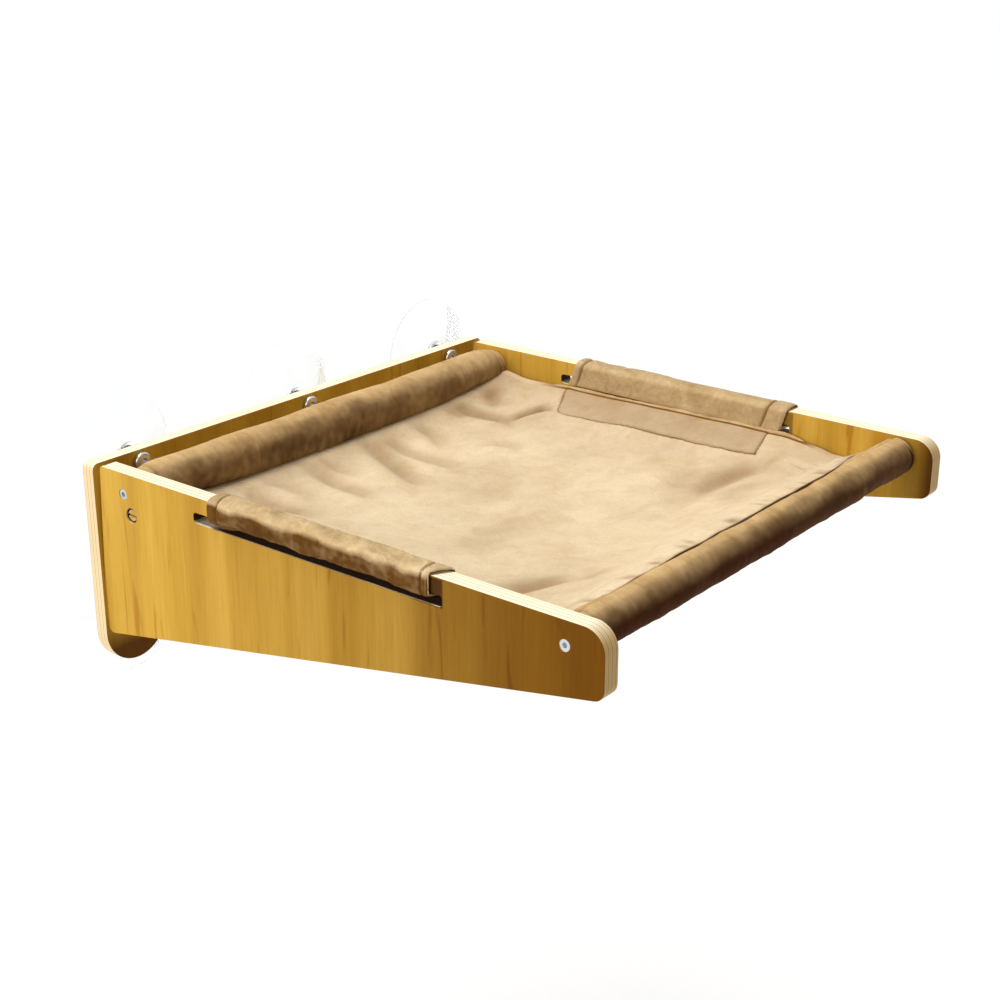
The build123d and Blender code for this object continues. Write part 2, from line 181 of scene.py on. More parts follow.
def addStage(own):
    bpy.ops.mesh.primitive_plane_add(size=own["floorSize"], location=own["floorPlace"])
    floor = bpy.context.object
    floor.name = "floor"
    look = {"Base_Color": tint(own["floorShade"]), "Roughness": 0.9, "Specular_IOR_Level": 0.1}
    material, tree, shader = newMaterial("paleFloor", **look)
    glow = addNode(tree, "Emission", {"Color": (1, 1, 1, 1), "Strength": 1.0})
    share = calc(tree, "MULTIPLY", backgroundRays(tree), own["glow"])
    mix = addNode(tree, "MixShader", {0: share, 1: shader.outputs[0], 2: glow.outputs[0]})
    tree.links.new(mix.outputs[0], tree.nodes["Material Output"].inputs["Surface"])
    floor.data.materials.append(material)

    world = bpy.data.worlds.new("studio")
    world.use_nodes = True
    bpy.context.scene.world = world
    tree = world.node_tree
    sky = tree.nodes["Background"]
    sky.inputs["Strength"].default_value = own["daylight"]
    sky.inputs["Color"].default_value = own["daylightShade"]
    white = addNode(tree, "Background", {"Color": (1, 1, 1, 1), "Strength": 1.0})
    mix = addNode(tree, "MixShader", {0: backgroundRays(tree), 1: sky.outputs[0], 2: white.outputs[0]})
    tree.links.new(mix.outputs[0], tree.nodes["World Output"].inputs["Surface"])
    bpy.context.scene.view_settings.view_transform = "Standard"


lampSettings = [
    {"name": "skyLight", "from": (-0.12, 0.15, 0.95), "strength": 3.0, "angle": 30},
    {"name": "sideLight", "from": (-0.95, 0.30, 0.20), "strength": 2.0, "angle": 40},
]


def addLamps(lamps, distance):
    for lamp in lamps:
        bpy.ops.object.light_add(type="SUN", location=Vector(lamp["from"]) * distance)
        light = bpy.context.object
        light.name = lamp["name"]
        light.rotation_euler = Vector(lamp["from"]).to_track_quat("Z", "Y").to_euler()
        light.data.energy = lamp["strength"]
        light.data.angle = math.radians(lamp["angle"])


addStage(stageSettings)
addLamps(lampSettings, stageSettings["lampDistance"])
print("stage and lamps ready")


# Finishes: noise scales are for each metre, and a share says how much of a layer shows
woodGrain = {
    "lengthwise": 0.055, "streakLength": 0.11, "bands": 30, "wide": 11, "fine": 420, "streaks": 120,
    "bandSpread": 0.14, "wideShare": 0.45, "fineShare": 0.75,
    "streakShade": (0.78, 0.62, 0.40, 1), "streakShare": 0.85,
    "paintedShadowColour": "3A1E08", "paintedShadowSoftLow": 0.0014, "paintedShadowSoftHigh": -0.0010,
    "wobble": 30, "wobbleShare": 0.14, "speck": 500, "speckShare": 0.12,
    "plies": [(0.0, "B8945F"), (0.14, "EBD8B2"), (0.5, "FAF1DC"), (0.88, "F4E6C6"), (1.0, "DCC292")],
    "uprightShade": "E9DDC8", "paintedFrontShade": "D6CAB2",
    "paintedSlotShadow": "33190A", "paintedSlotShadowShare": 0.97, "bareFloor": (-0.131, -0.139),
    "roughness": [(0.3, 0.5), (0.7, 0.36)], "bump": 0.00018, "bumpStrength": 0.5, "plyBump": 0.4,
}


def veneerShade(tree, place, axes, fine, stretch, look):
    grain = woodGrain
    bands = noiseAt(tree, place, stretch, grain["bands"], 2.5, 0.3)
    wide = noiseAt(tree, place, stretch, grain["wide"], 1.0)
    streakStretch = [c if c > 0.5 else grain["streakLength"] for c in stretch]
    streaks = noiseAt(tree, place, streakStretch, grain["streaks"], 1.0, 0.9)
    shade = threeTones(tree, look, bands, grain["bandSpread"], wide, grain["wideShare"])
    lines = ramp(tree, fine, [(0.3, 0.86), (0.6, 1.0)])
    shade = blend(tree, grain["fineShare"], shade, lines, "MULTIPLY")
    dark = ramp(tree, streaks, [(0.27, grain["streakShade"]), (0.37, 1.0)])
    shade = blend(tree, grain["streakShare"], shade, dark, "MULTIPLY")
    # painted shade: the veneer darkens along the fade span, towards its far end
    near, far = look["fade"]
    kept = ramp(tree, ramped(tree, axes.outputs[look["paintedShadeAxis"]], far, near), look["paintedShadeCurve"])
    shade = blend(tree, kept, blend(tree, 1.0, shade, tint(look["paintedShadeColour"]), "MULTIPLY"), shade)
    if look.get("paintedShadowBox"):
        # painted contact shadow on the rail beside the loop's front end
        close = look["paintedShadowShare"]
        for axis, (low, high) in look["paintedShadowBox"].items():
            for edge, soft in ((low, grain["paintedShadowSoftLow"]), (high, grain["paintedShadowSoftHigh"])):
                close = calc(tree, "MULTIPLY", close, ramped(tree, axes.outputs[axis], edge, edge + soft))
        shade = blend(tree, close, shade, tint(grain["paintedShadowColour"]))
    return shade


def slotShadowShare(tree, axes, normals, look):
    # painted shadow: the slot is painted dark, apart from the open back end of its floor and the floor's outer
    # edge
    covered = ramped(tree, axes.outputs["Y"], *woodGrain["bareFloor"])
    outer = calc(tree, "SUBTRACT", calc(tree, "ABSOLUTE", axes.outputs["X"]), look["rim"])
    covered = calc(tree, "MULTIPLY", covered, calc(tree, "LESS_THAN", outer, 0.0))
    inside = calc(tree, "MAXIMUM", calc(tree, "LESS_THAN", normals.outputs["Z"], 0.5), covered)
    for axis, (low, high) in look["slot"].items():
        offset = calc(tree, "ABSOLUTE", calc(tree, "SUBTRACT", axes.outputs[axis], (low + high) / 2))
        inside = calc(tree, "MULTIPLY", inside, calc(tree, "LESS_THAN", offset, (high - low) / 2))
    return calc(tree, "MULTIPLY", inside, woodGrain["paintedSlotShadowShare"])


def plywood(name, face, grainAlong, faceLow, faceHigh, look):
    # veneer on both faces, and plies on every edge between them
    grain = woodGrain
    material, tree, shader = newMaterial(name, Roughness=0.42, Specular_IOR_Level=0.05)
    coordinates = addNode(tree, "TexCoord")
    place = coordinates.outputs["Object"]
    axes = addNode(tree, "SeparateXYZ", {0: place})
    normals = addNode(tree, "SeparateXYZ", {0: coordinates.outputs["Normal"]})
    stretch = [1.0, 1.0, 1.0]
    stretch["XYZ".index(grainAlong)] = grain["lengthwise"]
    fine = noiseAt(tree, place, stretch, grain["fine"], 3.0, 0.2, 0.65)
    shade = veneerShade(tree, place, axes, fine, stretch, look)

    across = ramped(tree, axes.outputs[face], faceLow, faceHigh, look["plies"])
    wobble = noiseAt(tree, place, even, grain["wobble"], 2)
    across = calc(tree, "ADD", across, calc(tree, "MULTIPLY", wobble, grain["wobbleShare"]))
    band = calc(tree, "PINGPONG", across, 1.0)
    plies = ramp(tree, band, grain["plies"])
    speck = ramp(tree, noiseAt(tree, place, even, grain["speck"], 2), [(0.35, 0.82), (0.55, 1.0)])
    plies = blend(tree, grain["speckShare"], plies, speck, "MULTIPLY")
    # painted shade: ply edges that don't face up, and those facing the front, are darker
    upright = calc(tree, "MULTIPLY_ADD", normals.outputs["Z"], -1.8, 1.8, True)
    plies = stained(tree, upright, plies, grain["uprightShade"])
    forward = calc(tree, "MULTIPLY", normals.outputs["Y"], -1.2, clamp=True)
    plies = stained(tree, forward, plies, grain["paintedFrontShade"])
    # painted shadow on the slot's walls and floor
    if look.get("slot"):
        plies = blend(tree, slotShadowShare(tree, axes, normals, look), plies, tint(grain["paintedSlotShadow"]))
    isFace = calc(tree, "GREATER_THAN", calc(tree, "ABSOLUTE", normals.outputs[face]), 0.7)
    height = calc(tree, "ADD", fine, calc(tree, "MULTIPLY", band, grain["plyBump"]))
    wire(tree, shader, blend(tree, isFace, plies, shade), height, grain["bump"], grain["bumpStrength"],
         ramp(tree, fine, grain["roughness"]))
    return material


plushGrain = {
    "nap": 58, "patch": 17, "fibre": 1500, "tuft": 330, "napSpread": 0.2, "patchShare": 0.35,
    "sheenTint": "F2DDB4",
    "low": (0.3, 0.80), "tuftTop": 0.6, "fibreTop": 0.62, "bump": 0.0007, "bumpStrength": 0.65,
}


def plush(name, look):
    # brushed cloth, with painted shade where the mesh has a crease value
    grain = plushGrain
    material, tree, shader = newMaterial(name, Roughness=0.9, Specular_IOR_Level=0.05, Sheen_Roughness=0.4,
                                         Sheen_Weight=look["sheen"], Sheen_Tint=tint(grain["sheenTint"]))
    place = ownPlace(tree)
    nap = noiseAt(tree, place, look["nap"], grain["nap"], 3.5, 0.6, 0.6)
    patch = noiseAt(tree, place, even, grain["patch"], 2.0, 0.4)
    fibre = noiseAt(tree, place, even, grain["fibre"], 2.0, 0.0, 0.7)
    tuft = noiseAt(tree, place, look["nap"], grain["tuft"], 2.0, 0.8, 0.6)
    shade = threeTones(tree, look, nap, grain["napSpread"], patch, grain["patchShare"])
    for layer, top in ((tuft, grain["tuftTop"]), (fibre, grain["fibreTop"])):
        dark = ramp(tree, layer, [grain["low"], (top, 1.0)])
        shade = blend(tree, look["grain"], shade, dark, "MULTIPLY")
    # painted shade: the crease attribute mixes the cloth towards its crease colour
    crease = addNode(tree, "Attribute", attribute_name="crease").outputs["Fac"]
    shade = stained(tree, crease, shade, look["crease"])
    height = calc(tree, "ADD", calc(tree, "MULTIPLY", fibre, 0.5), tuft)
    wire(tree, shader, shade, height, grain["bump"], grain["bumpStrength"])
    return material


def barWood():
    material, tree, shader = newMaterial("barBirch", Roughness=0.55)
    grain = noiseAt(tree, ownPlace(tree), (0.05, 1, 1), 260, 3, 0.3)
    wire(tree, shader, ramp(tree, grain, [(0.3, "C9A468"), (0.65, "E8CF9C")]), grain, 0.0002, 0.5)
    return material


def brightMetal(name, shade, roughness, lines):
    material, tree, shader = newMaterial(name, Metallic=1.0, Roughness=roughness)
    place = ownPlace(tree)
    brushed = noiseAt(tree, place, lines, 700, 2, 0.0, 0.6)
    dull = noiseAt(tree, place, even, 240, 3)
    rough = ramp(tree, dull, [(0.3, roughness * 1.35), (0.7, roughness * 0.8)])
    wire(tree, shader, ramp(tree, dull, [(0.3, shade[0]), (0.7, shade[1])]), brushed, 0.00003, 0.4, rough)
    return material


brassSettings = {"dull": "A9803C", "bright": "D8B468", "rim": "1E1206", "paintedShadowStart": 0.0036, "paintedShadowEnd": 0.0041}


def brassWithShadowRim(name, centre):
    # a barrel nut lies along X, and its rim is painted dark where it meets the wood, as painted shadow in the
    # gap
    own = brassSettings
    material, tree, shader = newMaterial(name, Metallic=0.85, Roughness=0.35)
    place = ownPlace(tree)
    aside = addNode(tree, "VectorMath", {0: place, 1: tuple(centre)}, operation="SUBTRACT").outputs[0]
    radial = addNode(tree, "VectorMath", {0: aside, 1: (0.0, 1.0, 1.0)}, operation="MULTIPLY").outputs[0]
    reach = addNode(tree, "VectorMath", {0: radial}, operation="LENGTH").outputs["Value"]
    dull = noiseAt(tree, place, even, 600, 3)
    brass = ramp(tree, dull, [(0.3, own["dull"]), (0.7, own["bright"])])
    rim = ramped(tree, reach, own["paintedShadowStart"], own["paintedShadowEnd"])
    wire(tree, shader, blend(tree, rim, brass, tint(own["rim"])), dull, 0.00005, 0.4)
    return material


def clearVinyl():
    clear = {"IOR": 1.2, "Transmission_Weight": 1.0, "Alpha": 0.5}
    material, tree, shader = newMaterial("clearVinyl", Roughness=0.06, **clear)
    uneven = noiseAt(tree, ownPlace(tree), even, 60, 2)
    shade = ramp(tree, uneven, [(0.3, "F3F7F8"), (0.7, "FCFEFE")])
    wire(tree, shader, shade, uneven, 0.0002, 0.25, ramp(tree, uneven, [(0.3, 0.05), (0.7, 0.12)]))
    return material


def hookTape(name, shade):
    material, tree, shader = newMaterial(name, Roughness=0.85, Sheen_Weight=0.3)
    cells = addNode(tree, "TexVoronoi", {"Vector": ownPlace(tree), "Scale": 900.0}).outputs["Distance"]
    wire(tree, shader, ramp(tree, cells, [(0.0, shade[0]), (0.6, shade[1])]), cells, 0.0005, 0.8)
    return material


def coat(piece, material):
    piece.data.materials.clear()
    piece.data.materials.append(material)


def dress(piece, material):
    coat(piece, material)
    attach(piece, "perch")


# Shades go from deep to light. The slot's span, where shadow is painted, and the box of painted contact shadow
# are places on the panels
woodLook = {
    "shades": ("A77820", "BF9333", "D2A84A"), "plies": 7.0,
    "slot": {"Z": (-0.0102, -0.0013), "Y": (-0.33, -0.117)}, "rim": 0.1969,
    "paintedShadowBox": {"Y": (-0.3238, -0.300), "Z": (-0.0105, 0.0080)}, "paintedShadowShare": 0.88,
    # painted shade: the near panel darkens towards its front
    "paintedShadeAxis": "Y", "fade": (-0.065, -0.425), "paintedShadeColour": "8A700C",
    "paintedShadeCurve": [(0.0, 0.0), (0.14, 0.06), (0.38, 0.48), (1.0, 1.0)],
}
# painted shadow: the far panel darkens only at its front tip
farWoodLook = dict(woodLook, paintedShadowShare=0.6, paintedShadowBox={"Y": (-0.3262, -0.300), "Z": (-0.0105, 0.0080)},
                   fade=(-0.40, -0.436), paintedShadeColour="6D4D0D")
boardLook = {
    "shades": ("AE7F21", "C0922D", "D4A73B"), "plies": 6.0,
    # painted shadow: the board darkens towards its bottom
    "paintedShadeAxis": "Z", "fade": (-0.100, -0.128), "paintedShadeColour": "7A6518", "paintedShadeCurve": [(0.0, 0.0), (1.0, 1.0)],
}
# each cloth's crease colour is the darkest colour of its painted shade
bedLook = {
    "shades": ("D1B78D", "DDC6A1", "E4D0AF"), "crease": "8A6420",
    "nap": even, "grain": 0.35, "sheen": 0.16,
}
rollLook = {
    "shades": ("A67E4E", "C6A26E", "DBB985"), "crease": "543418",
    "nap": (1.0, 0.5, 0.5), "grain": 0.6, "sheen": 0.05,
}
loopLook = {
    "shades": ("AC8B5E", "C3A679", "D6BC93"), "crease": "7C5E30",
    "nap": even, "grain": 0.7, "sheen": 0.10,
}


def finishCadParts():
    chrome = brightMetal("brightChrome", ("B4B8BC", "DDE0E2"), 0.16, even)
    zinc = brightMetal("zincSteel", ("B9BCBE", "DCDEDF"), 0.27, (1, 0.1, 1))
    shared = {
        "sleeve_nut": chrome, "nut_washer": chrome, "suction_cup": clearVinyl(), "panel_bolt": zinc,
        "back_bar_screw": zinc, "front_bar_screw": zinc, "cup_stud": zinc,
    }
    birch = barWood()
    for name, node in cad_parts.items():
        low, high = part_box(name)
        if name.startswith("side_panel"):
            look = farWoodLook if name.endswith("right") else woodLook
            veneer = plywood("veneer" + name.removeprefix("side_panel"), "X", "Z", low.x, high.x, look)
            coat(node, veneer)
        elif name == "window_board":
            coat(node, plywood("boardVeneer", "Y", "Z", low.y, high.y, boardLook))
        elif name in ("back_bar", "front_bar") or name.startswith("locating_pin"):
            coat(node, birch)
        elif name.startswith("barrel_nut"):
            coat(node, brassWithShadowRim("brass" + name.removeprefix("barrel_nut"), (low + high) / 2))
        for start, material in shared.items():
            if name.startswith(start):
                coat(node, material)


finishCadParts()
print("wood, metal and vinyl finished")


# Cloth helpers
def smoothLine(stops, places):
    # a line through the stops that never swings past them
    stops, values = np.asarray(stops, float).T
    step = np.diff(stops)
    rise = np.diff(values) / step
    slope = np.zeros(len(stops))
    both = rise[:-1] * rise[1:]
    slope[1:-1] = np.where(both > 0, 2 * both / (rise[:-1] + rise[1:] + (both <= 0)), 0)
    slope[0], slope[-1] = rise[0], rise[-1]
    k = np.clip(np.searchsorted(stops, places, side="right") - 1, 0, len(step) - 1)
    t = np.clip((places - stops[k]) / step[k], -0.5, 1.5)
    first = (2 * t**3 - 3 * t**2 + 1) * values[k] + (t**3 - 2 * t**2 + t) * step[k] * slope[k]
    return first + (3 * t**2 - 2 * t**3) * values[k + 1] + (t**3 - t**2) * step[k] * slope[k + 1]


def spaced(stops):
    # places from the first stop to the last, with each stretch at its own step
    places = [stops[0][0]]
    for (start, step), (end, _) in zip(stops, stops[1:]):
        count = max(1, round(abs(end - start) / step))
        places += list(np.linspace(start, end, count + 1)[1:])
    return np.array(places)


def ripple(first, second, seed, third=None):
    # soft noise from about -1 to 1 at each set of places
    third = np.zeros_like(first) if third is None else third
    places = zip(first, second, third)
    return np.array([noise.noise((a + seed, b + seed * 0.37, c)) for a, b, c in places]) * 1.6


def bell(distance, width):
    return np.exp(-((distance / width) ** 2))


def unit(value):
    return np.clip(value, 0, 1)


def rising(value, start, span):
    # 0 up to the start, and 1 from a span beyond it
    return unit((value - start) / span)


def turnedFrom(degrees, middle):
    # degrees from the middle, between -180 and 180
    return (degrees - middle + 180) % 360 - 180


def ringProfile(outer, inner, step):
    # places along a sleeve's outside, round its far end, back inside it and round its near end,
    # each with its share of the way from the outside to the bore
    profile = [(place, 0.0) for place in outer] + [(outer[-1], step)] + [(place, 1.0) for place in inner]
    return np.array(profile + [(outer[0], step), (outer[0], 0.0)])


def isTurn(depth):
    return (depth > 0.2) & (depth < 0.9)


def roundedRim(fromEnd, reach, size):
    # how far the cloth's edge curves in at its end, up to the size in mm
    rim = unit(fromEnd / reach)
    return (1 - np.sqrt(1 - (1 - rim) ** 2)) * size * mm


def editMesh(*steps):
    # edit mode operators over the whole of the active mesh
    bpy.ops.object.mode_set(mode="EDIT")
    bpy.ops.mesh.select_all(action="SELECT")
    for operator, options in steps:
        operator(**options)
    bpy.ops.object.mode_set(mode="OBJECT")


def writeCrease(piece, crease):
    values = unit(crease).astype(np.float32)
    piece.data.attributes["crease"].data.foreach_set("value", values)


def coordinatesOf(piece):
    flat = np.zeros(len(piece.data.vertices) * 3)
    piece.data.vertices.foreach_get("co", flat)
    return flat.reshape(-1, 3)


faceOutward = (bpy.ops.mesh.normals_make_consistent, {"inside": False})


def gridPiece(name, columns, rows, place, closed=False):
    # a grid whose points and crease values come from place, by column and row
    bpy.ops.object.select_all(action="DESELECT")
    bpy.ops.mesh.primitive_grid_add(x_subdivisions=columns, y_subdivisions=rows, size=1)
    piece = bpy.context.object
    piece.name = name
    piece.data.name = name
    flat = coordinatesOf(piece)
    i = np.rint((flat[:, 0] + 0.5) * columns).astype(int)
    j = np.rint((flat[:, 1] + 0.5) * rows).astype(int)
    points, crease = place(i, j)
    piece.data.vertices.foreach_set("co", points.ravel())
    piece.data.attributes.new("crease", "FLOAT", "POINT")
    writeCrease(piece, crease)
    if closed:
        editMesh((bpy.ops.mesh.remove_doubles, {"threshold": 0.00002}), faceOutward)
    bpy.ops.object.shade_smooth()
    return piece


def addGroup(piece, name, weights):
    group = piece.vertex_groups.new(name=name)
    levels = np.round(weights, 2)
    for level in np.unique(levels):
        group.add([int(k) for k in np.flatnonzero(levels == level)], float(level), "REPLACE")


clothRules = {"quality": 6, "mass": 0.25, "shear_stiffness": 4, "vertex_group_mass": "pins"}


def settle(piece, pins, own):
    # cloth simulation from the shaped mesh, with each point's movement capped
    before = coordinatesOf(piece)
    addGroup(piece, "pins", pins)
    cloth = piece.modifiers.new("Cloth", "CLOTH")
    for key, value in dict(clothRules, **own["rules"]).items():
        setattr(cloth.settings, key, value)
    cloth.settings.effector_weights.gravity = own["gravity"]
    cloth.collision_settings.use_self_collision = False
    cloth.point_cache.frame_start = 1
    cloth.point_cache.frame_end = own["frames"]
    for number in range(1, own["frames"] + 1):
        bpy.context.scene.frame_set(number)
    bpy.context.view_layer.objects.active = piece
    bpy.ops.object.modifier_apply(modifier=cloth.name)
    bpy.context.scene.frame_set(1)
    moved = coordinatesOf(piece) - before
    length = np.linalg.norm(moved, axis=1)[:, None] + 1e-12
    kept = own["cap"] * np.tanh(length / own["cap"])
    piece.data.vertices.foreach_set("co", (before + moved / length * kept).ravel())
    piece.data.update()
    piece.vertex_groups.remove(piece.vertex_groups["pins"])
    print(piece.name, "settled, largest move", round(float(length.max()) * 1000, 2), "mm")


def applyModifier(piece, kind, **settings):
    bpy.context.view_layer.objects.active = piece
    modifier = piece.modifiers.new(kind, kind)
    for key, value in settings.items():
        setattr(modifier, key, value)
    bpy.ops.object.modifier_apply(modifier=modifier.name)


# Places that the cloth follows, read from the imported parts
def roundPart(name):
    # the part's middle, at X = 0, and its radius
    low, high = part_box(name)
    return Vector((0, (low.y + high.y) / 2, (low.z + high.z) / 2)), (high.z - low.z) / 2


backBar, barRadius = roundPart("back_bar")
frontBar = roundPart("front_bar")[0]
backRadius = roundPart("back_sleeve")[1]
frontRadius = roundPart("front_sleeve")[1]
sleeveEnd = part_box("back_sleeve")[1].x
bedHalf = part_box("bed_sheet")[1].x
panelLow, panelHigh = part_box("side_panel_right")
sides = (("Left", -1), ("Right", 1))
sewnWidth = 0.0012

# Bed cloth: places are in metres unless a comment gives mm
bedSettings = {
    "rows": [
        # distance in front of the back bar, the edge's height and the middle's height, in mm
        (0.0, -18.15, -18.42), (5.7, -17.2, -20.1), (14.2, -12.4, -23.0), (22.0, -13.6, -25.0),
        (35.6, -15.2, -26.5), (50.0, -14.9, -27.05), (67.0, -14.1, -27.05), (104.0, -13.5, -27.05),
        (140.0, -12.9, -27.05), (175.0, -12.4, -27.05), (208.5, -11.9, -27.05), (241.0, -11.4, -26.8),
        (269.4, -11.1, -25.0), (282.7, -12.6, -22.8), (298.3, -15.9, -18.8), (311.5, -18.2, -13.6),
        (322.5, -17.0, -8.2), (334.2, -10.0, -1.9), (344.0, -0.5, 3.8), (354.2, 6.9, 8.1),
    ],
    "sagReach": 0.984, "sagRound": 0.6467, "sagSteep": 0.3533,
    "backDip": {"depth": 3.2 * mm, "x": -0.128, "along": 0.012, "halfX": 0.042, "halfAlong": 0.034},
    "cornerDip": {"depth": 4.0 * mm, "x": (0.130, 0.04), "along": (0.316, 0.012)},
    "underRoll": 0.25 * mm, "rollReach": 0.4 * mm,
    "thickness": 3.4 * mm, "tuck": 5.0 * mm, "seamBack": 3.1 * mm, "seamDepth": 0.6 * mm,
    "seamTurn": [(-0.183, 50), (-0.165, 76), (0.095, 78), (0.122, 66), (0.145, 40), (0.183, 12)],
    "frontRows": -0.372,
    "heldSide": (0.150, 0.012), "heldBack": (-0.074, 0.010), "heldFront": (0.386, 0.008),
    "lip": (-0.0058, 0.0009), "lipDepth": 0.7 * mm,
    "lipShown": [(-0.40, 0), (-0.352, 0.1), (-0.33, 1), (-0.15, 1), (-0.118, 0.5), (-0.10, 0)],
    "patch": [(0.1762, -0.1302), (0.1468, -0.1452), (0.1508, -0.3166), (0.1796, -0.3090)],
    "patchDepth": 0.9 * mm, "patchPuff": 0.5 * mm, "flatMore": (0.02, 0.03),
    "waves": {
        # scale across, scale along, seed and size
        "soft": (22, 28, 3.1, 1.1), "small": (55, 70, 8.4, 0.16), "fan": (60, 7, 5.5, 1.0),
        "pucker": (120, 20, 2.2, 0.6), "ticks": (210, 30, 6.6, 2.2), "clouds": (20, 24, 9.2, 1.0),
    },
    # strengths of the dark sewn line and clouds, and of painted shade in creases, puckers, under the lip, on the
    # far patch, near the back and towards the far side
    "tones": {"line": 0.8, "crease": 0.58, "ticks": 0.6, "lip": 0.95, "patch": 0.25, "back": 0.24,
              "far": 0.25, "clouds": 0.10},
    "creases": [
        # from, to, depth and width in mm
        ((0.008, -0.064), (-0.019, -0.155), 3.0, 5.5), ((0.029, -0.066), (0.015, -0.155), 2.2, 4.6),
        ((-0.056, -0.066), (-0.063, -0.150), 2.4, 5.0), ((-0.119, -0.074), (-0.119, -0.150), 2.4, 5.6),
        ((-0.090, -0.066), (-0.095, -0.122), 1.5, 4.4), ((-0.148, -0.074), (-0.140, -0.130), 1.8, 5.0),
        ((0.112, -0.062), (0.110, -0.132), 2.6, 5.0), ((0.119, -0.117), (0.152, -0.141), 4.2, 4.6),
        ((0.106, -0.056), (0.095, -0.095), 1.6, 4.0), ((0.063, -0.064), (0.047, -0.120), 1.7, 4.4),
        ((0.146, -0.064), (0.137, -0.098), 1.8, 5.4), ((0.066, -0.130), (0.080, -0.164), 1.4, 4.2),
        ((-0.034, -0.066), (-0.041, -0.108), 1.4, 3.8), ((0.118, -0.290), (0.040, -0.303), 1.5, 10.0),
        ((0.066, -0.319), (0.142, -0.327), 3.0, 9.0), ((0.158, -0.322), (0.118, -0.338), 1.2, 6.0),
        ((0.100, -0.332), (0.050, -0.352), 1.4, 8.0), ((-0.078, -0.348), (-0.119, -0.343), 1.7, 5.5),
        ((-0.150, -0.325), (-0.096, -0.344), 3.4, 7.5), ((-0.030, -0.210), (0.060, -0.196), 1.1, 14.0),
        ((-0.100, -0.250), (-0.010, -0.262), 1.0, 13.0),
    ],
    "settle": {"frames": 22, "cap": 3.5 * mm, "gravity": 0.15, "rules": {
        "tension_stiffness": 15, "compression_stiffness": 15, "bending_stiffness": 3.0, "shrink_min": -0.012,
    }},
}


def bedShape(x, y):
    # the height of the cloth's top, without its creases
    own = bedSettings
    rows = np.array(own["rows"]) * mm
    along = backBar.y - y
    edge = smoothLine(rows[:, (0, 1)], along)
    middle = smoothLine(rows[:, (0, 2)], along)
    t = unit(np.abs(x) / bedHalf / own["sagReach"])
    rise = own["sagRound"] * t**2 + own["sagSteep"] * t**6
    top = middle + (edge - middle) * rise
    dip = own["backDip"]
    top = top - dip["depth"] * bell(x - dip["x"], dip["halfX"]) * bell(along - dip["along"], dip["halfAlong"])
    dip = own["cornerDip"]
    top = top - dip["depth"] * rising(x, *dip["x"]) * rising(along, *dip["along"])
    across = np.clip(backRadius**2 - (y - backBar.y) ** 2, 0, None)
    underRoll = backBar.z - np.sqrt(across) - own["underRoll"]
    near = y > backBar.y - backRadius + own["rollReach"]
    return np.where(near, np.minimum(top, underRoll), top)


def creaseField(x, y, creases):
    # height and painted shade of curved valleys, each with a ridge on one side and painted shade on the other
    low, paintedShade = np.zeros_like(x), np.zeros_like(x)
    for (x0, y0), (x1, y1), depth, width in creases:
        run = np.array((x1 - x0, y1 - y0))
        length = np.hypot(*run)
        share = ((x - x0) * run[0] + (y - y0) * run[1]) / length**2
        bend = 0.003 * np.sin(share * 5 + x0 * 90)
        aside = ((x - x0) * run[1] - (y - y0) * run[0]) / length + bend
        fade = unit(1.15 - (2 * share - 1) ** 2) * (np.abs(2 * share - 1) < 1.07)
        valley = bell(aside, width * mm)
        ridge = bell(aside - 1.9 * width * mm, 1.5 * width * mm)
        low += fade * depth * mm * (0.75 * ridge - valley)
        shade = bell(aside + 0.7 * width * mm, 1.6 * width * mm)
        paintedShade = np.maximum(paintedShade, fade * unit(depth / 3.4) * shade)
    return low, paintedShade


def sewnPatch(x, y, corners):
    # shares of the sewn line and of the patch inside it, alike at both sides
    ax = np.abs(x)
    line, inside = np.zeros(len(x)), np.ones(len(x))
    wander = ripple(y * 34, ax * 34, 6.1) * 0.35 * mm
    for (x0, y0), (x1, y1) in zip(corners, corners[1:]):
        run = np.array((x1 - x0, y1 - y0))
        share = unit(((ax - x0) * run[0] + (y - y0) * run[1]) / (run @ run))
        gap = np.hypot(ax - x0 - share * run[0], y - y0 - share * run[1])
        aside = ((ax - x0) * run[1] - (y - y0) * run[0]) / np.hypot(*run)
        line = np.maximum(line, bell(gap + wander, 0.0011))
        inside = inside * unit(0.5 - aside / 0.003)
    return line, inside


def seamTone(x):
    return 0.35 + 0.45 * unit(0.5 + ripple(x * 60, x * 0, 14.6) * 1.6)


def seamWander(x):
    return ripple(x * 30, x * 0, 1.7) * 0.5 * mm + ripple(x * 110, x * 0, 4.3) * 0.35 * mm


